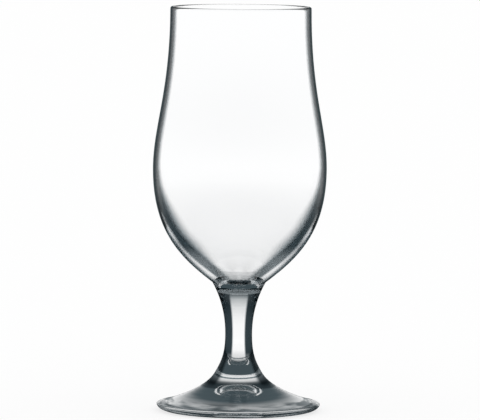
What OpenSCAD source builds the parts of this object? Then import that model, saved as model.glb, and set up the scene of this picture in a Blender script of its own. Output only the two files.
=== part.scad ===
// Stemmed beer glass: a blown tulip bowl, a solid waisted stem and a flared foot, fused together.
// Sizes are in millimetres and angles in degrees. The glass stands on z = 0 and its axis is the Z axis.

/* [Bowl] */

// Outside diameter at the rim
mouth_d = 63.4; // [56:0.1:72]

// Outside diameter at the widest place
belly_d = 78.2; // [70:0.1:90]

// Height of the bowl from the edge of its seat to the rim
bowl_h = 124; // [112:0.5:140]

// Height of the widest place above the edge of the seat
belly_rise = 51.3; // [44:0.1:60]

// Wall at the rim, which is fully rounded
rim_wall = 1.6; // [1.2:0.1:3]

// Wall at the widest place
belly_wall = 1.6; // [1.2:0.1:3]

// Glass at the middle of the bowl's bottom
floor_t = 5.4; // [3:0.1:8]

/* [Bowl curve] */

// How far the wall runs straight down from the rim before it swells
mouth_pull = 38; // [25:0.5:48]

// How far the belly stays upright above the widest place
belly_pull_up = 19; // [12:0.5:28]

// How far the belly stays upright below the widest place
belly_pull_down = 29; // [20:0.5:36]

// How far the underside runs out straight from the seat
under_pull = 17.5; // [10:0.5:24]

// How late the wall thickens on its way down from the widest place to the bottom
thicken_power = 1.2; // [1:0.1:4]

/* [Seat between bowl and stem] */

// Diameter of the seat, shared by the bowl's bottom and the stem's cupped head
seat_d = 24; // [19:0.1:28]

// Slope of the bowl's bottom at the edge of the seat
seat_slope = 37.4; // [20:0.1:50]

/* [Stem] */

// Height of the stem from the foot to the edge of the seat
stem_h = 41; // [34:0.5:60]

// Diameter at the waist
waist_d = 12.1; // [9:0.1:16]

// Height of the waist above the foot's top
waist_rise = 17.4; // [12:0.1:22]

// Slope of the stem's outside at the edge of the seat
head_slope = 61.5; // [52:0.1:75]

// How far the head runs straight down from the edge of the seat
head_pull = 9; // [5:0.5:12]

// How far the stem stays upright above the waist
waist_pull_up = 8.3; // [4:0.1:12]

// How far the stem stays upright below the waist
waist_pull_down = 9.3; // [4:0.1:11]

/* [Joint between stem and foot] */

// Diameter of the flat joint
neck_d = 21.4; // [18:0.1:25]

// Slope of the outside where it crosses the joint
neck_slope = 60.6; // [50:0.1:70]

// How far the stem runs straight into the joint
neck_pull_up = 5.6; // [3:0.1:7]

// How far the foot runs straight out of the joint
neck_pull_down = 8.5; // [5:0.1:10]

/* [Foot] */

// Diameter of the foot
foot_d = 73.6; // [64:0.1:84]

// Height of the foot from the table to the joint
foot_h = 17; // [15:0.1:22]

// Height of the foot's widest line above the table
edge_h = 2.9; // [2:0.1:4]

// Rounding of the foot's edge above its widest line
edge_round = 0.6; // [0.3:0.1:1.2]

// Slope of the foot's top at its edge
top_slope = 9.4; // [4:0.1:14]

// How far the foot's top runs straight in from its edge
top_pull = 4.9; // [2:0.1:12]

// Outside diameter of the flat ring that the glass stands on
ring_d = 61; // [54:0.1:63]

// Width of the flat ring
ring_w = 2; // [1:0.1:4]

// Height of the shallow hollow under the foot where it meets the dimple
hollow_h = 0.8; // [0.2:0.1:2]

// Diameter of the dimple pressed into the foot under the stem
dimple_d = 18; // [16:0.1:22]

// Depth of the dimple above the hollow
dimple_h = 6; // [2:0.1:7.5]

/* [Hidden] */

// Heights of the joints and the rim
neck_z = foot_h;
seat_z = neck_z + stem_h;
rim_z = seat_z + bowl_h;
belly_z = seat_z + belly_rise;
waist_z = neck_z + waist_rise;

// The bowl's bottom is a ball's cap that meets the seat's edge at the seat's slope
seat_r = seat_d / 2;
seat_ball_r = seat_r / sin(seat_slope);
seat_ball_z = seat_z + seat_ball_r * cos(seat_slope);
bottom_z = seat_ball_z - seat_ball_r;

// The dimple under the stem is a ball's cap too
dimple_r = dimple_d / 2;
dimple_ball_r = (pow(dimple_r, 2) + pow(dimple_h, 2)) / (2 * dimple_h);
dimple_ball_z = hollow_h + dimple_h - dimple_ball_r;
dimple_angle = asin(dimple_r / dimple_ball_r);

// How finely the curves are divided
long_steps = 22;
short_steps = 14;
round_steps = 8;
$fn = 180;

glass_colour = [0.72, 0.80, 0.82];

// A point that lies a pull away from a place, out at a slope from level
function pulled(place, pull, slope) = place + pull * [cos(slope), sin(slope)];

// A point on a cubic curve through the list of four points, t of the way along it
function curve_point(p, t) =
    pow(1 - t, 3) * p[0] + 3 * pow(1 - t, 2) * t * p[1] + 3 * (1 - t) * pow(t, 2) * p[2] + pow(t, 3) * p[3];

// The way that the curve runs there
function curve_run(p, t) =
    pow(1 - t, 2) * (p[1] - p[0]) + 2 * (1 - t) * t * (p[2] - p[1]) + pow(t, 2) * (p[3] - p[2]);

// The unit vector to the left of a run
function left_of(run) = [-run[1], run[0]] / norm(run);

// A curve's points without the first, so that curves can follow each other
function curve(p, steps) = [for (i = [1:steps]) curve_point(p, i / steps)];

// An arc of an ellipse without its first point
function arc(centre, across, up, from, to, steps) =
    [for (i = [1:steps])
        let (angle = from + (to - from) * i / steps)
        centre + [across * cos(angle), up * sin(angle)]];

// The seat from the axis out to its edge: the bowl's underside and the stem's cup
seat_edge = [seat_r, seat_z];
seat_line = concat([[0, bottom_z]],
    arc([0, seat_ball_z], seat_ball_r, seat_ball_r, -90, -90 + seat_slope, round_steps));

// The bowl's outside above the seat, in two curves that meet at the widest place
belly = [belly_d / 2, belly_z];
lip = [mouth_d / 2, rim_z - rim_wall / 2];
under_curve = [seat_edge, pulled(seat_edge, under_pull, seat_slope), belly - [0, belly_pull_down], belly];
upper_curve = [belly, belly + [0, belly_pull_up], lip - [0, mouth_pull], lip];

// The wall below the widest place, by the height of its outside
function wall_under(z) =
    belly_wall + (floor_t - belly_wall) * pow((belly_z - z) / (belly_z - bottom_z), thicken_power);

function wall_above(t) = belly_wall + (rim_wall - belly_wall) * t;

// The bowl's inside, down from the lip: the outside moved in by the wall
upper_inside = [for (i = [long_steps:-1:1])
    let (t = i / long_steps)
    curve_point(upper_curve, t) + wall_above(t) * left_of(curve_run(upper_curve, t))];

under_inside = [for (i = [long_steps:-1:0])
    let (t = i / long_steps, outside = curve_point(under_curve, t))
    outside + wall_under(outside[1]) * left_of(curve_run(under_curve, t))];

seat_inside = [for (i = [round_steps - 1:-1:0])
    let (angle = -90 + seat_slope * i / round_steps, out = [cos(angle), sin(angle)])
    [0, seat_ball_z] + (seat_ball_r - wall_under(seat_ball_z + seat_ball_r * sin(angle))) * out];

module bowl_outline() {
    polygon(concat(
        seat_line,
        curve(under_curve, long_steps),
        curve(upper_curve, long_steps),
        arc(lip - [rim_wall / 2, 0], rim_wall / 2, rim_wall / 2, 0, 180 - 180 / round_steps, round_steps - 1),
        upper_inside,
        under_inside,
        seat_inside
    ));
}

module stem_outline() {
    waist = [waist_d / 2, waist_z];
    neck = [neck_d / 2, neck_z];
    head_curve = [seat_edge, pulled(seat_edge, -head_pull, head_slope), waist + [0, waist_pull_up], waist];
    neck_curve = [waist, waist - [0, waist_pull_down], pulled(neck, neck_pull_up, 180 - neck_slope), neck];
    polygon(concat(
        seat_line,
        curve(head_curve, short_steps),
        curve(neck_curve, short_steps),
        [[0, neck_z]]
    ));
}

module foot_outline() {
    neck = [neck_d / 2, neck_z];
    widest_r = foot_d / 2;
    top_edge = [widest_r - edge_round, edge_h + edge_round];
    ring_r = ring_d / 2;
    top_curve = [neck, pulled(neck, neck_pull_down, -neck_slope),
        pulled(top_edge, top_pull, 180 - top_slope), top_edge];
    polygon(concat(
        [[0, neck_z], neck],
        curve(top_curve, long_steps),
        arc([widest_r - edge_round, edge_h], edge_round, edge_round, 90, 0, round_steps),
        arc([ring_r, edge_h], widest_r - ring_r, edge_h, 0, -90, round_steps),
        [[ring_r - ring_w, 0], [dimple_r, hollow_h]],
        arc([0, dimple_ball_z], dimple_ball_r, dimple_ball_r, 90 - dimple_angle, 90, short_steps)
    ));
}

module bowl() {
    color(glass_colour) rotate_extrude() bowl_outline();
}

module stem() {
    color(glass_colour) rotate_extrude() stem_outline();
}

module foot() {
    color(glass_colour) rotate_extrude() foot_outline();
}

bowl();
stem();
foot();
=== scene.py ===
"""A stemmed beer glass of clear glass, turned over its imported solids, on a white table in a bright studio."""

import math

import bmesh
import bpy
from mathutils import Euler, Matrix, Vector


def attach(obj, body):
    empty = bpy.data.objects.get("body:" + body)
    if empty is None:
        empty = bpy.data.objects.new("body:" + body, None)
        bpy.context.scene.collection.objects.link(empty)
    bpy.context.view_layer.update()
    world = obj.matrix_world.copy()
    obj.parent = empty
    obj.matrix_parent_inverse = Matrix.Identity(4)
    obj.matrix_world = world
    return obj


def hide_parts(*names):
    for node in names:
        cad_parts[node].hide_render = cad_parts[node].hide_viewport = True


bl_info = {
    "name": "Stemmed Beer Glass",
    "version": (1, 0, 0),
    "blender": (4, 5, 0),
    "location": "3D View > Sidebar > Glass",
    "description": "Builds a clear stemmed beer glass over its packed solids, with its studio",
    "category": "Object",
}

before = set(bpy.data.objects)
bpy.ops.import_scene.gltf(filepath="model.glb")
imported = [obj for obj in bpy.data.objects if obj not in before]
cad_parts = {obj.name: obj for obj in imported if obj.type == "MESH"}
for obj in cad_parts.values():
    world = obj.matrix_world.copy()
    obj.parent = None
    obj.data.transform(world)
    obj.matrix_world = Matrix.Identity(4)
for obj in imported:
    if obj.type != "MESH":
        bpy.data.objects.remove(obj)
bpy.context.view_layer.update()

BODY = "root"

WHITE = (1, 1, 1)

# Which of a piece's materials a stretch of its outline takes
OUTSIDE = 0
FUSED = 1
INSIDE = 2

# Points of an outline closer than this become one point, in metres
SAME_POINT = 2e-6

# An outline that turns by more than this keeps a sharp edge
SHARP_TURN = math.radians(30)

# The foot's underside is what lies below this height, in metres, and rises by less than this share of its run
UNDERSIDE_HEIGHT = 0.001
UNDERSIDE_RISE = 0.1

# Where the painted cool grey lies between the painted dark edge and the clear glass
MIDDLE_SHARE = 0.26

# Layer Weight's blend at which its Facing is one less the cosine of the angle of view
PLAIN_BLEND = 0.5

# Slow waves of blown or pressed glass: their scale to a metre, and their depth in metres
WAVE_SCALE = 140.0
WAVE_DEPTH = 2e-6

# Press rings on the foot's flare: their scale to a metre, how uneven they are, and their depth in metres
RING_SCALE = 112.0
RING_DISTORTION = 2.5
RING_DETAIL_SCALE = 0.4
RING_DEPTH = 3e-5

# Painted streaks of light and shade in the foot's disc: their scale round the axis, and out from it to a metre
STREAK_SCALE_ROUND = 2.0
STREAK_SCALE_OUT = 240.0
STREAK_CONTRAST = (0.36, 0.64)

# How often light may bend, mirror or pass straight through before it is lost
GLASS_BOUNCES = 48
MIRROR_BOUNCES = 24
CLEAR_BOUNCES = 32

# Width of the camera's sensor, in millimetres
SENSOR_WIDTH = 36

# In the finishes below, a pair gives where a soft step is 0 and where it is 1.
# Heights are in metres above the table. Facing and turn go from 0, seen square on, to 1, seen edge on.
# A share of clear glass goes from 0, dark with painted shade, to 1, clear.

# Painted light gap low on the bowl, between the painted dark line at its edge and its painted dark wall
GAP_BOTTOM_HEIGHTS = (0.076, 0.082)
GAP_TOP_HEIGHTS = (0.0930, 0.0885)

# Line of painted shade at the bowl's edge: the facing at which it is dark, and at which it is clear, outside
# the gap and in it
LINE_DARK_FACING = 0.82
LINE_CLEAR_FACING = 0.62
LINE_CLEAR_FACING_IN_GAP = 0.72

# Painted shade on the bowl's wall where it is seen through its own thickness, which fades more slowly at the
# heel
HEEL_BOTTOM_HEIGHTS = (0.068, 0.080)
HEEL_TOP_HEIGHTS = (0.106, 0.088)
WALL_DARK_FACING = 0.246
WALL_CLEAR_FACING = 0.213
WALL_CLEAR_SHIFT_AT_HEEL = -0.048

# Clear glass outside the painted dark wall, a painted light where the wall mirrors the surround, outside the
# gap and in it
MIRROR_DARK_FACING = 0.275
MIRROR_DARK_FACING_IN_GAP = 0.267
MIRROR_CLEAR_FACING = 0.310
MIRROR_CLEAR_FACING_IN_GAP = 0.294

# Bowl's floor, the painted grey shade on it, and the least share of clear glass under the painted shade in the
# thick glass above it
FLOOR_HEIGHTS = (0.0645, 0.0615)
PAINTED_FLOOR_SHADE_HEIGHTS = (0.0650, 0.0605)
PAINTED_FLOOR_SHADE_SHARE = 0.3
THICK_HEIGHTS = (0.078, 0.070)
THICK_SHARE = 0.17

# Painted shade on the bowl's inside where it is seen nearly edge on from the hollow
HOLLOW_FACING = (0.98, 0.88)

# Stem: the painted light down its middle, with painted shade at its sides, its flare into the foot, its painted
# grey head and the clear top of that
STEM_LIGHT_TURN = (0.14, 0.07)
STEM_LIGHT_HEIGHTS = (0.0550, 0.0505)
STEM_FLARE_TURN = (0.38, 0.22)
STEM_FLARE_HEIGHTS = (0.027, 0.021)
STEM_FLARE_SIDE_SHARE = 0.15
STEM_HEAD_HEIGHTS = (0.0480, 0.0545)
STEM_HEAD_SHARE = 0.15
STEM_TOP_HEIGHTS = (0.0555, 0.0563)
STEM_TOP_TURN = (0.50, 0.30)

# Foot's neck, with painted shade at its sides, and the band of painted shade across it
NECK_HEIGHTS = (0.0112, 0.0135)
NECK_TURN = (0.38, 0.20)
NECK_SIDE_SHARE = 0.08
BAND_BOTTOM_HEIGHTS = (0.0108, 0.0115)
BAND_TOP_HEIGHTS = (0.0146, 0.0138)
BAND_FACING = (0.08, 0.18)
BAND_SHARE = 0.4

# Foot's flare above its disc
FLARE_HEIGHTS = (0.0050, 0.0066)
RING_HEIGHTS = (0.0050, 0.0075)

# Foot's disc, with painted shade where it is seen at a slant, most of all low down, and the painted streaks'
# effect on it
SLANT_BEGIN_FACING = (0.45, 0.60)
SLANT_END_FACING = (0.82, 0.70)
DISC_HEIGHTS = (0.0048, 0.0036)
DISC_HIGH_SHARE = 0.50
DISC_LOW_SHARE = 0.22
STREAK_FACING = (0.35, 0.60)
STREAK_DARKEST = 0.3
STREAK_LIGHTEST = 1.6

# Painted shade on the foot's rounded edge
EDGE_HEIGHTS = (0.0022, 0.0034)
EDGE_FACING = (0.75, 0.50)
EDGE_ALONG_SHARE = 0.40
EDGE_SQUARE_SHARE = 0.45

# Foot's roughness: smooth on the flare, softer on the disc, and worn where it meets the table
SOFT_HEIGHTS = (0.0085, 0.0055)
FLARE_ROUGHNESS = 0.015
DISC_ROUGHNESS = 0.12
WORN_HEIGHTS = (0.0004, 0.0001)
WORN_ROUGHNESS = 0.25

# Seam under the bowl, which mirrors light where it is looked along
SEAM_FACING = (0.72, 0.92)
SEAM_ROUGHNESS = 0.1

# Table: how much of the painted shadow under the glass is the faint wide part, and the distances from the axis,
# in metres, over which its painted shade in reflections lightens
FAINT_PART = 0.3
MIRRORED_DISTANCES = (0.1, 0.9)


class GlassSettings(bpy.types.PropertyGroup):
    """How the glass is divided, bent and tinted, and the colours of its painted shade."""

    segments: bpy.props.IntProperty(
        name="Segments",
        description="How many flat steps go round a piece before it is smoothed",
        default=128,
        min=16,
    )
    smoothing: bpy.props.IntProperty(
        name="Smoothing",
        description="How many times each piece is subdivided",
        default=1,
        min=0,
        max=3,
    )
    tint: bpy.props.FloatVectorProperty(
        name="Tint",
        description="Colour that each surface of the clear glass passes",
        subtype="COLOR",
        default=(0.998, 0.999, 1.0),
    )
    # Painted shade: the darkest colour painted on the bowl's wall and the stem
    painted_edge_shade: bpy.props.FloatVectorProperty(
        name="Edge colour",
        description="Colour of the bowl's wall and the stem where they are darkest",
        subtype="COLOR",
        default=(0.034, 0.050, 0.058),
    )
    # Painted shade: the cool grey painted between the dark edge and the clear glass
    painted_middle_grey: bpy.props.FloatVectorProperty(
        name="Middle colour",
        description="Cool grey between the dark edge and the clear glass",
        subtype="COLOR",
        default=(0.270, 0.300, 0.315),
    )
    # Painted shade: the colour of the thin dark line painted at the bowl's very edge
    painted_line_shade: bpy.props.FloatVectorProperty(
        name="Line colour",
        description="Colour of the thin line at the bowl's very edge",
        subtype="COLOR",
        default=(0.105, 0.138, 0.150),
    )
    # Painted shade: the darkest colour painted on the foot
    painted_foot_shade: bpy.props.FloatVectorProperty(
        name="Foot colour",
        description="Colour of the foot where it is darkest",
        subtype="COLOR",
        default=(0.036, 0.052, 0.060),
    )
    bend: bpy.props.FloatProperty(
        name="Refractive index",
        description="How much the glass bends light",
        default=1.52,
        min=1.3,
    )


class StudioSettings(bpy.types.PropertyGroup):
    """The table, the surround and the camera."""

    table_width: bpy.props.FloatProperty(
        name="Table width",
        description="Width and depth of the table",
        default=40.0,
        unit="LENGTH",
    )
    # Painted shadow: the colour painted on the table under the glass, as the glass sees it
    painted_shadow_colour: bpy.props.FloatVectorProperty(
        name="Dark colour",
        description="Colour of the table under the glass, as the glass sees it",
        subtype="COLOR",
        default=(0.050, 0.070, 0.080),
    )
    overhead_colour: bpy.props.FloatVectorProperty(
        name="Overhead colour",
        description="Colour of the surround above the glass",
        subtype="COLOR",
        default=(0.150, 0.190, 0.205),
    )
    white_below: bpy.props.FloatProperty(
        name="White below",
        description="Height in the surround up to which it is white",
        default=math.radians(-2),
        subtype="ANGLE",
    )
    dark_above: bpy.props.FloatProperty(
        name="Dark above",
        description="Height in the surround from which it is dark",
        default=math.radians(36),
        subtype="ANGLE",
    )
    # Distances over which the table's painted shadow, as the glass sees it, fades
    shade_inside: bpy.props.FloatProperty(
        name="Shade inside",
        description="Distance from the axis within which the table's shade is full",
        default=0.015,
        unit="LENGTH",
    )
    shade_middle: bpy.props.FloatProperty(
        name="Shade middle",
        description="Distance from the axis beyond which the table's shade is faint",
        default=0.030,
        unit="LENGTH",
    )
    shade_outside: bpy.props.FloatProperty(
        name="Shade outside",
        description="Distance from the axis beyond which the table is not shaded",
        default=0.100,
        unit="LENGTH",
    )
    shadow: bpy.props.FloatProperty(
        name="Shadow",
        description="How strongly the table shows the glass's shadow",
        default=0.25,
        subtype="FACTOR",
        min=0,
        max=1,
    )
    camera_side: bpy.props.FloatProperty(
        name="Camera side",
        description="How far the camera stands to the right of the glass's axis",
        default=0.0002,
        unit="LENGTH",
    )
    camera_distance: bpy.props.FloatProperty(
        name="Camera distance",
        description="Level distance from the glass's axis to the camera",
        default=2.197,
        unit="LENGTH",
    )
    camera_height: bpy.props.FloatProperty(
        name="Camera height",
        description="Height of the camera above the table",
        default=0.267,
        unit="LENGTH",
    )
    camera_pitch: bpy.props.FloatProperty(
        name="Camera pitch",
        description="How far the camera looks down",
        default=math.radians(4.592),
        subtype="ANGLE",
    )
    camera_roll: bpy.props.FloatProperty(
        name="Camera roll",
        description="How far the camera leans",
        default=math.radians(0.42),
        subtype="ANGLE",
    )
    lens: bpy.props.FloatProperty(
        name="Lens",
        description="Focal length of the camera's lens",
        default=367.6,
        unit="CAMERA",
    )


def outline(node):
    """The (radius, height) points round a turned solid, from one end of it on the axis to the other."""
    flat = bmesh.new()
    flat.from_mesh(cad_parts[node].data)
    for vert in flat.verts:
        vert.co = (math.hypot(vert.co.x, vert.co.y), 0, vert.co.z)
    bmesh.ops.remove_doubles(flat, verts=flat.verts, dist=SAME_POINT)
    ends = [vert for vert in flat.verts if len(vert.link_edges) == 1]
    if len(ends) != 2:
        raise RuntimeError(f"{node} is not a plain turned solid: its outline has {len(ends)} ends")
    at = min(ends, key=lambda vert: vert.co.z)
    points = [(at.co.x, at.co.z)]
    edge = at.link_edges[0]
    while edge:
        at = edge.other_vert(at)
        points.append((at.co.x, at.co.z))
        onward = [other for other in at.link_edges if other != edge]
        edge = onward[0] if onward else None
    flat.free()
    if points[0][0] > SAME_POINT:
        points.insert(0, (0, points[0][1]))
    if points[-1][0] > SAME_POINT:
        points.append((0, points[-1][1]))
    return points


def same(a, b):
    """Whether points of two outlines are one place, though each may have moved when its points merged."""
    return math.hypot(a[0] - b[0], a[1] - b[1]) < 2 * SAME_POINT


def shared(points, neighbours):
    """For each stretch of an outline, whether it is fused to a neighbour."""
    others = [point for name in neighbours for point in outline(name)]
    touching = [any(same(point, other) for other in others) for point in points]
    return [a and b for a, b in zip(touching, touching[1:])]


def turned(name, points, parts, segments):
    """A closed mesh: the outline turned round the axis, each stretch in the material that parts gives."""
    work = bmesh.new()
    crease = work.edges.layers.float.new("crease_edge")
    turns = [2 * math.pi * step / segments for step in range(segments)]
    rings = []
    for radius, height in points:
        if radius < SAME_POINT:
            rings.append([work.verts.new((0, 0, height))] * segments)
            continue
        rings.append([work.verts.new((radius * math.cos(a), radius * math.sin(a), height)) for a in turns])
    for index, (low, high) in enumerate(zip(rings, rings[1:])):
        for step in range(segments):
            after = (step + 1) % segments
            corners = [low[step], low[after], high[after], high[step]]
            unique = list(dict.fromkeys(corners))
            face = work.faces.new(unique)
            face.smooth = True
            face.material_index = parts[index]
    for index in range(1, len(rings) - 1):
        before = Vector(points[index]) - Vector(points[index - 1])
        onward = Vector(points[index + 1]) - Vector(points[index])
        if before.angle(onward) > SHARP_TURN:
            ring = rings[index]
            for step in range(segments):
                edge = work.edges.get((ring[step], ring[(step + 1) % segments]))
                edge[crease] = 1.0
                edge.smooth = False
    bmesh.ops.recalc_face_normals(work, faces=work.faces)
    mesh = bpy.data.meshes.new(name)
    work.to_mesh(mesh)
    work.free()
    return mesh


def put(tree, socket, value):
    """Sets a node's input, or links it to another node's output."""
    if isinstance(value, bpy.types.NodeSocket):
        tree.links.new(value, socket)
    else:
        socket.default_value = value


def add(tree, kind, inputs=None, **choices):
    """Adds a node with its choices and inputs set."""
    node = tree.nodes.new(kind)
    for name, choice in choices.items():
        setattr(node, name, choice)
    for name, value in (inputs or {}).items():
        put(tree, node.inputs[name], value)
    return node


def worked_out(tree, operation, *values):
    """One step of arithmetic."""
    return add(tree, "ShaderNodeMath", dict(enumerate(values)), operation=operation).outputs[0]


def product(tree, a, b):
    """Two numbers multiplied."""
    return worked_out(tree, "MULTIPLY", a, b)


def one_less(tree, value):
    """What is left of 1 when a number is taken from it."""
    return worked_out(tree, "SUBTRACT", 1.0, value)


def highest(tree, *values):
    """The largest of several numbers."""
    top = values[0]
    for value in values[1:]:
        top = worked_out(tree, "MAXIMUM", top, value)
    return top


def ramp(tree, value, start, end):
    """A soft step from 0 where the value is at its start to 1 where it is at its end."""
    inputs = {"Value": value, "From Min": start, "From Max": end}
    return add(tree, "ShaderNodeMapRange", inputs, interpolation_type="SMOOTHSTEP").outputs["Result"]


def between(tree, share, low, high):
    """A number between low and high."""
    mix = add(tree, "ShaderNodeMix", {"Factor": share}, data_type="FLOAT")
    put(tree, mix.inputs["A"], low)
    put(tree, mix.inputs["B"], high)
    return mix.outputs["Result"]


def blended(tree, share, dark, light):
    """A colour between dark and light."""
    mix = add(tree, "ShaderNodeMix", data_type="RGBA")
    put(tree, mix.inputs["Factor"], share)
    put(tree, mix.inputs[6], (*dark, 1))
    put(tree, mix.inputs[7], (*light, 1))
    return mix.outputs[2]


def painted_shade_colour(tree, share, dark, settings):
    """The glass's colour with painted shade: dark, then a cool grey, then clear, as the share of clear glass
    rises.
    """
    stops = add(tree, "ShaderNodeValToRGB", {"Fac": share})
    colours = stops.color_ramp.elements
    colours[0].color = (*dark, 1)
    colours[1].color = (*settings.tint, 1)
    middle = colours.new(MIDDLE_SHARE)
    middle.color = (*settings.painted_middle_grey, 1)
    return stops.outputs["Color"]


def vector_step(tree, operation, *values):
    """A node for one step of arithmetic on vectors."""
    return add(tree, "ShaderNodeVectorMath", dict(enumerate(values)), operation=operation)


def levelled(tree, vector):
    """A vector without its height."""
    return vector_step(tree, "MULTIPLY", vector, (1, 1, 0)).outputs["Vector"]


def facing_away(tree):
    """0 where the surface is seen square on, 1 where it is seen edge on."""
    return add(tree, "ShaderNodeLayerWeight", {"Blend": PLAIN_BLEND}).outputs["Facing"]


def turned_away(tree):
    """The same for the surface made upright, so that only its turn round the axis counts, from any height."""
    normal = add(tree, "ShaderNodeNewGeometry").outputs["Normal"]
    upright = vector_step(tree, "NORMALIZE", levelled(tree, normal)).outputs["Vector"]
    across = add(tree, "ShaderNodeLayerWeight", {"Blend": PLAIN_BLEND, "Normal": upright}).outputs["Facing"]
    up = add(tree, "ShaderNodeCombineXYZ", {"Z": 1.0}).outputs["Vector"]
    along = add(tree, "ShaderNodeLayerWeight", {"Blend": PLAIN_BLEND, "Normal": up}).outputs["Facing"]
    rise = one_less(tree, along)
    level_share = worked_out(tree, "SQRT", one_less(tree, product(tree, rise, rise)))
    square_on = worked_out(tree, "DIVIDE", one_less(tree, across), level_share)
    return one_less(tree, square_on)


def from_within(tree):
    """1 where light meets the surface from inside the glass."""
    return add(tree, "ShaderNodeNewGeometry").outputs["Backfacing"]


def place_of(tree):
    """Place in the glass's own frame."""
    return add(tree, "ShaderNodeTexCoord").outputs["Object"]


def height_of(tree):
    """Height above the table."""
    return add(tree, "ShaderNodeSeparateXYZ", {0: place_of(tree)}).outputs["Z"]


def new_finish(name):
    """An empty material, and whether it has still to be made."""
    material = bpy.data.materials.get(name)
    if material:
        return material, False
    material = bpy.data.materials.new(name)
    material.use_nodes = True
    material.node_tree.nodes.clear()
    return material, True


def show(tree, surface, kind="ShaderNodeOutputMaterial"):
    """Links a finished surface to the output."""
    output = add(tree, kind)
    tree.links.new(surface, output.inputs["Surface"])


def mixed(tree, share, first, second):
    """One surface fading into another."""
    mix = add(tree, "ShaderNodeMixShader", {0: share})
    tree.links.new(first, mix.inputs[1])
    tree.links.new(second, mix.inputs[2])
    return mix.outputs["Shader"]


def finish_glass(tree, colour, settings, bump, roughness=0.0):
    """Glass in the colour given, which carries the finishes' painted shade, with the faint relief that blowing
    or pressing leaves.
    """
    inputs = {"Color": colour, "Roughness": roughness, "IOR": settings.bend, "Normal": bump}
    show(tree, add(tree, "ShaderNodeBsdfGlass", inputs).outputs["BSDF"])


def ripple(tree):
    """The slow waves of blown or pressed glass."""
    inputs = {"Vector": place_of(tree), "Scale": WAVE_SCALE, "Detail": 1.0}
    waves = add(tree, "ShaderNodeTexNoise", inputs).outputs["Fac"]
    return add(tree, "ShaderNodeBump", {"Distance": WAVE_DEPTH, "Height": waves}).outputs["Normal"]


def rings(tree):
    """The faint rings that the press leaves round the foot's flare."""
    inputs = {
        "Vector": place_of(tree),
        "Scale": RING_SCALE,
        "Distortion": RING_DISTORTION,
        "Detail": 2.0,
        "Detail Scale": RING_DETAIL_SCALE,
    }
    waves = add(tree, "ShaderNodeTexWave", inputs, wave_type="RINGS", rings_direction="Z")
    relief = product(tree, waves.outputs["Fac"], ramp(tree, height_of(tree), *RING_HEIGHTS))
    return add(tree, "ShaderNodeBump", {"Distance": RING_DEPTH, "Height": relief}).outputs["Normal"]


def streaks(tree):
    """Long soft streaks round the foot, from 0 to 1, that paint light and shade in place of what the pressed
    glass refracts.
    """
    level = levelled(tree, place_of(tree))
    radius = vector_step(tree, "LENGTH", level).outputs["Value"]
    round_axis = vector_step(tree, "NORMALIZE", level).outputs["Vector"]
    out = add(tree, "ShaderNodeCombineXYZ", {"Z": product(tree, radius, STREAK_SCALE_OUT)}).outputs["Vector"]
    scale = (STREAK_SCALE_ROUND, STREAK_SCALE_ROUND, 0.0)
    stretched = vector_step(tree, "MULTIPLY_ADD", round_axis, scale, out).outputs["Vector"]
    inputs = {"Vector": stretched, "Scale": 1.0, "Detail": 2.0}
    noise = add(tree, "ShaderNodeTexNoise", inputs).outputs["Fac"]
    return ramp(tree, noise, *STREAK_CONTRAST)


def painted_light_gap(tree, height):
    """1 at the heights where the bowl gets a painted light gap between its painted edge line and its painted
    dark wall.
    """
    return product(tree, ramp(tree, height, *GAP_BOTTOM_HEIGHTS), ramp(tree, height, *GAP_TOP_HEIGHTS))


def bowl_outside(settings):
    """The outside of the blown bowl: clear, with a thin line of painted shade at its very edge."""
    material, empty = new_finish("Blown glass outside")
    if empty:
        tree = material.node_tree
        gap = painted_light_gap(tree, height_of(tree))
        line_end = between(tree, gap, LINE_CLEAR_FACING, LINE_CLEAR_FACING_IN_GAP)
        clear = ramp(tree, facing_away(tree), LINE_DARK_FACING, line_end)
        share = highest(tree, clear, from_within(tree))
        finish_glass(tree, painted_shade_colour(tree, share, settings.painted_line_shade, settings), settings, ripple(tree))
    return material


def bowl_inside(settings):
    """The inside of the blown bowl: painted shade where the wall is seen through its thickness, with a painted
    grey shade on its floor.
    """
    material, empty = new_finish("Blown glass inside")
    if empty:
        tree = material.node_tree
        facing = facing_away(tree)
        height = height_of(tree)
        heel = product(tree, ramp(tree, height, *HEEL_BOTTOM_HEIGHTS), ramp(tree, height, *HEEL_TOP_HEIGHTS))
        wall_end = worked_out(tree, "MULTIPLY_ADD", heel, WALL_CLEAR_SHIFT_AT_HEEL, WALL_CLEAR_FACING)
        through = ramp(tree, facing, WALL_DARK_FACING, wall_end)
        gap = painted_light_gap(tree, height)
        mirror_start = between(tree, gap, MIRROR_DARK_FACING, MIRROR_DARK_FACING_IN_GAP)
        mirror_end = between(tree, gap, MIRROR_CLEAR_FACING, MIRROR_CLEAR_FACING_IN_GAP)
        mirrored = ramp(tree, facing, mirror_start, mirror_end)
        floor = ramp(tree, height, *FLOOR_HEIGHTS)
        painted_floor_shade = between(tree, ramp(tree, height, *PAINTED_FLOOR_SHADE_HEIGHTS), 1.0, PAINTED_FLOOR_SHADE_SHARE)
        thick = product(tree, ramp(tree, height, *THICK_HEIGHTS), THICK_SHARE)
        wall = highest(tree, product(tree, highest(tree, through, mirrored, floor), painted_floor_shade), thick)
        hollow = highest(tree, ramp(tree, facing, *HOLLOW_FACING), floor)
        share = between(tree, from_within(tree), hollow, wall)
        finish_glass(tree, painted_shade_colour(tree, share, settings.painted_edge_shade, settings), settings, ripple(tree))
    return material


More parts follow.
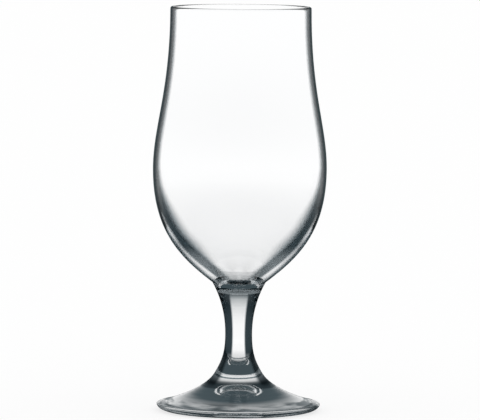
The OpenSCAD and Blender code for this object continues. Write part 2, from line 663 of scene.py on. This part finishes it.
def stem_glass(settings):
    """The solid stem: painted light down its middle and painted shade at its sides."""
    material, empty = new_finish("Pressed glass stem")
    if empty:
        tree = material.node_tree
        height = height_of(tree)
        turn = turned_away(tree)
        clear = product(tree, ramp(tree, turn, *STEM_LIGHT_TURN), ramp(tree, height, *STEM_LIGHT_HEIGHTS))
        middle = between(tree, ramp(tree, turn, *STEM_FLARE_TURN), STEM_FLARE_SIDE_SHARE, 1.0)
        flare = product(tree, ramp(tree, height, *STEM_FLARE_HEIGHTS), middle)
        head = product(tree, ramp(tree, height, *STEM_HEAD_HEIGHTS), STEM_HEAD_SHARE)
        top = product(tree, ramp(tree, height, *STEM_TOP_HEIGHTS), ramp(tree, turn, *STEM_TOP_TURN))
        share = highest(tree, clear, flare, head, top, from_within(tree))
        finish_glass(tree, painted_shade_colour(tree, share, settings.painted_edge_shade, settings), settings, ripple(tree))
    return material


def foot_flare(tree, facing, height):
    """Share of clear glass on the foot's flare: painted shade at the sides of its neck, with a band of painted
    shade.
    """
    band = product(tree, ramp(tree, height, *BAND_BOTTOM_HEIGHTS), ramp(tree, height, *BAND_TOP_HEIGHTS))
    shade = product(tree, band, ramp(tree, facing, *BAND_FACING))
    middle = between(tree, ramp(tree, turned_away(tree), *NECK_TURN), NECK_SIDE_SHARE, 1.0)
    neck = between(tree, ramp(tree, height, *NECK_HEIGHTS), 1.0, middle)
    return product(tree, neck, between(tree, shade, 1.0, BAND_SHARE))


def foot_disc(tree, facing, height):
    """Share of clear glass on the foot's disc and edge: painted streaks of light and shade, and painted shade
    where it is seen at a slant.
    """
    slant = product(tree, ramp(tree, facing, *SLANT_BEGIN_FACING), ramp(tree, facing, *SLANT_END_FACING))
    slanted = between(tree, ramp(tree, height, *DISC_HEIGHTS), DISC_HIGH_SHARE, DISC_LOW_SHARE)
    disc = between(tree, slant, 1.0, slanted)
    edge = between(tree, ramp(tree, facing, *EDGE_FACING), EDGE_ALONG_SHARE, EDGE_SQUARE_SHARE)
    plain = between(tree, ramp(tree, height, *EDGE_HEIGHTS), edge, disc)
    streaky = between(tree, streaks(tree), STREAK_DARKEST, STREAK_LIGHTEST)
    painted_streak_shade = between(tree, ramp(tree, facing, *STREAK_FACING), 1.0, streaky)
    return product(tree, plain, painted_streak_shade)


def foot_glass(settings):
    """The pressed foot: its flare over its disc, in painted shade, slightly rough where it meets the table."""
    material, empty = new_finish("Pressed glass foot")
    if empty:
        tree = material.node_tree
        facing = facing_away(tree)
        height = height_of(tree)
        flare = foot_flare(tree, facing, height)
        disc = foot_disc(tree, facing, height)
        outside = between(tree, ramp(tree, height, *FLARE_HEIGHTS), disc, flare)
        share = highest(tree, outside, from_within(tree))
        soft = between(tree, ramp(tree, height, *SOFT_HEIGHTS), FLARE_ROUGHNESS, DISC_ROUGHNESS)
        worn = between(tree, ramp(tree, height, *WORN_HEIGHTS), soft, WORN_ROUGHNESS)
        colour = painted_shade_colour(tree, share, settings.painted_foot_shade, settings)
        finish_glass(tree, colour, settings, rings(tree), worn)
    return material


def fused_glass():
    """A fused face or the foot's underside, which light passes straight through."""
    material, empty = new_finish("Fused joint")
    if empty:
        tree = material.node_tree
        show(tree, add(tree, "ShaderNodeBsdfTransparent").outputs["BSDF"])
    return material


def seam_glass():
    """The bowl's fused bottom, which shows as a light line where it is looked along."""
    material, empty = new_finish("Fused seam")
    if empty:
        tree = material.node_tree
        clear = add(tree, "ShaderNodeBsdfTransparent").outputs["BSDF"]
        film = add(tree, "ShaderNodeBsdfGlossy", {"Roughness": SEAM_ROUGHNESS}).outputs["BSDF"]
        show(tree, mixed(tree, ramp(tree, facing_away(tree), *SEAM_FACING), clear, film))
    return material


def glass_piece(context, name, node, neighbours, finishes, sort_further=None):
    """Turns one CAD solid into a smooth glass piece that stands for it."""
    settings = context.scene.glass_settings
    points = outline(node)
    parts = [FUSED if fused else OUTSIDE for fused in shared(points, neighbours)]
    if sort_further:
        parts = sort_further(points, parts)
    mesh = turned(name, points, parts, settings.segments)
    for finish in finishes:
        mesh.materials.append(finish)
    piece = bpy.data.objects.new(name, mesh)
    context.scene.collection.objects.link(piece)
    smooth = piece.modifiers.new("Smooth curve", "SUBSURF")
    smooth.levels = settings.smoothing
    smooth.render_levels = settings.smoothing
    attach(piece, BODY)
    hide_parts(node)


def inside_of_bowl(points, parts):
    """Gives the stretches past the rim's top the inside's material."""
    top = max(range(len(points)), key=lambda index: points[index][1])
    outside_first = parts[0] == FUSED
    for index in range(len(parts)):
        if parts[index] == OUTSIDE and (index >= top) == outside_first:
            parts[index] = INSIDE
    return parts


def underside_of_foot(points, parts):
    """Gives the nearly level stretches next to the table the fused faces' material."""
    for index, (start, end) in enumerate(zip(points, points[1:])):
        low = max(start[1], end[1]) < UNDERSIDE_HEIGHT
        level = abs(start[1] - end[1]) < UNDERSIDE_RISE * abs(start[0] - end[0])
        if low and level:
            parts[index] = FUSED
    return parts


class GLASS_OT_bowl(bpy.types.Operator):
    """Make the blown tulip bowl"""

    bl_idname = "glass.bowl"
    bl_label = "Bowl"

    def execute(self, context):
        settings = context.scene.glass_settings
        finishes = [bowl_outside(settings), seam_glass(), bowl_inside(settings)]
        glass_piece(context, "tulip_bowl", "bowl", ["stem"], finishes, inside_of_bowl)
        return {"FINISHED"}


class GLASS_OT_stem(bpy.types.Operator):
    """Make the solid waisted stem"""

    bl_idname = "glass.stem"
    bl_label = "Stem"

    def execute(self, context):
        settings = context.scene.glass_settings
        finishes = [stem_glass(settings), fused_glass()]
        glass_piece(context, "waisted_stem", "stem", ["bowl", "foot"], finishes)
        return {"FINISHED"}


class GLASS_OT_foot(bpy.types.Operator):
    """Make the flared foot"""

    bl_idname = "glass.foot"
    bl_label = "Foot"

    def execute(self, context):
        settings = context.scene.glass_settings
        finishes = [foot_glass(settings), fused_glass()]
        glass_piece(context, "flared_foot", "foot", ["stem"], finishes, underside_of_foot)
        return {"FINISHED"}


def make_world(scene, settings):
    """White to the camera and to the matt table, and to the glass a white surround that darkens overhead."""
    world = bpy.data.worlds.new("Studio")
    scene.world = world
    world.use_nodes = True
    tree = world.node_tree
    tree.nodes.clear()
    toward = add(tree, "ShaderNodeTexCoord").outputs["Generated"]
    height = add(tree, "ShaderNodeSeparateXYZ", {0: toward}).outputs["Z"]
    surround = ramp(tree, height, math.sin(settings.dark_above), math.sin(settings.white_below))
    path = add(tree, "ShaderNodeLightPath").outputs
    plain = highest(tree, path["Is Camera Ray"], path["Is Diffuse Ray"])
    share = highest(tree, surround, plain)
    colour = blended(tree, share, settings.overhead_colour, WHITE)
    light = add(tree, "ShaderNodeBackground", {"Color": colour, "Strength": 1.0})
    show(tree, light.outputs["Background"], "ShaderNodeOutputWorld")


def table_finish(settings):
    """White with a faint shadow to the camera; to the glass it has a painted shadow, darker near its axis, and
    more painted shade in reflections.
    """
    material, _ = new_finish("White table")
    tree = material.node_tree
    place = add(tree, "ShaderNodeNewGeometry").outputs["Position"]
    away = vector_step(tree, "LENGTH", levelled(tree, place)).outputs["Value"]
    path = add(tree, "ShaderNodeLightPath").outputs
    # Painted shadow under the glass, as the glass sees the table
    near = ramp(tree, away, settings.shade_inside, settings.shade_middle)
    faint = ramp(tree, away, settings.shade_middle, settings.shade_outside)
    open_table = between(tree, FAINT_PART, near, faint)
    # Painted shade: the table is darker in reflections near the glass
    mirrored = ramp(tree, away, *MIRRORED_DISTANCES)
    painted_reflection_shade = product(tree, path["Is Reflection Ray"], one_less(tree, mirrored))
    open_table = product(tree, open_table, one_less(tree, painted_reflection_shade))
    share = highest(tree, open_table, path["Is Camera Ray"])
    colour = blended(tree, share, settings.painted_shadow_colour, WHITE)
    glow = add(tree, "ShaderNodeEmission", {"Color": colour, "Strength": 1.0}).outputs["Emission"]
    matt = add(tree, "ShaderNodeBsdfDiffuse", {"Color": (*WHITE, 1)}).outputs["BSDF"]
    show(tree, mixed(tree, product(tree, path["Is Camera Ray"], settings.shadow), glow, matt))
    return material


def make_table(scene, settings):
    """A plain white table top under the glass."""
    half = settings.table_width / 2
    corners = [(-half, -half, 0), (half, -half, 0), (half, half, 0), (-half, half, 0)]
    mesh = bpy.data.meshes.new("table")
    mesh.from_pydata(corners, [], [(0, 1, 2, 3)])
    mesh.materials.append(table_finish(settings))
    table = bpy.data.objects.new("table", mesh)
    scene.collection.objects.link(table)


def make_camera(scene, settings):
    """The camera at the photograph's viewing angle."""
    camera = bpy.data.cameras.new("Camera")
    camera.sensor_width = SENSOR_WIDTH
    camera.lens = settings.lens
    holder = bpy.data.objects.new("Camera", camera)
    scene.collection.objects.link(holder)
    look = Euler((math.pi / 2 - settings.camera_pitch, 0, 0)).to_matrix()
    lean = Matrix.Rotation(settings.camera_roll, 3, "Z")
    place = Matrix.Translation((settings.camera_side, -settings.camera_distance, settings.camera_height))
    holder.matrix_world = place @ (look @ lean).to_4x4()
    scene.camera = holder


class GLASS_OT_studio(bpy.types.Operator):
    """Make the table, the surround and the camera"""

    bl_idname = "glass.studio"
    bl_label = "Studio"

    def execute(self, context):
        scene = context.scene
        settings = scene.studio_settings
        make_world(scene, settings)
        make_table(scene, settings)
        make_camera(scene, settings)
        scene.view_settings.view_transform = "Standard"
        scene.cycles.max_bounces = GLASS_BOUNCES
        scene.cycles.transmission_bounces = GLASS_BOUNCES
        scene.cycles.glossy_bounces = MIRROR_BOUNCES
        scene.cycles.transparent_max_bounces = CLEAR_BOUNCES
        return {"FINISHED"}


class GLASS_PT_panel(bpy.types.Panel):
    """Lists the glass's pieces and settings"""

    bl_idname = "GLASS_PT_panel"
    bl_label = "Stemmed beer glass"
    bl_space_type = "VIEW_3D"
    bl_region_type = "UI"
    bl_category = "Glass"

    def draw(self, context):
        for group in (context.scene.glass_settings, context.scene.studio_settings):
            for name in group.__annotations__:
                self.layout.prop(group, name)
        for operator in (GLASS_OT_bowl, GLASS_OT_stem, GLASS_OT_foot, GLASS_OT_studio):
            self.layout.operator(operator.bl_idname)


CLASSES = (
    GlassSettings,
    StudioSettings,
    GLASS_OT_bowl,
    GLASS_OT_stem,
    GLASS_OT_foot,
    GLASS_OT_studio,
    GLASS_PT_panel,
)


def register():
    for entry in CLASSES:
        bpy.utils.register_class(entry)
    bpy.types.Scene.glass_settings = bpy.props.PointerProperty(type=GlassSettings)
    bpy.types.Scene.studio_settings = bpy.props.PointerProperty(type=StudioSettings)


def unregister():
    del bpy.types.Scene.glass_settings
    del bpy.types.Scene.studio_settings
    for entry in reversed(CLASSES):
        bpy.utils.unregister_class(entry)


def main():
    register()
    bpy.ops.glass.studio()
    bpy.ops.glass.bowl()
    bpy.ops.glass.stem()
    bpy.ops.glass.foot()


if __name__ == "__main__":
    main()
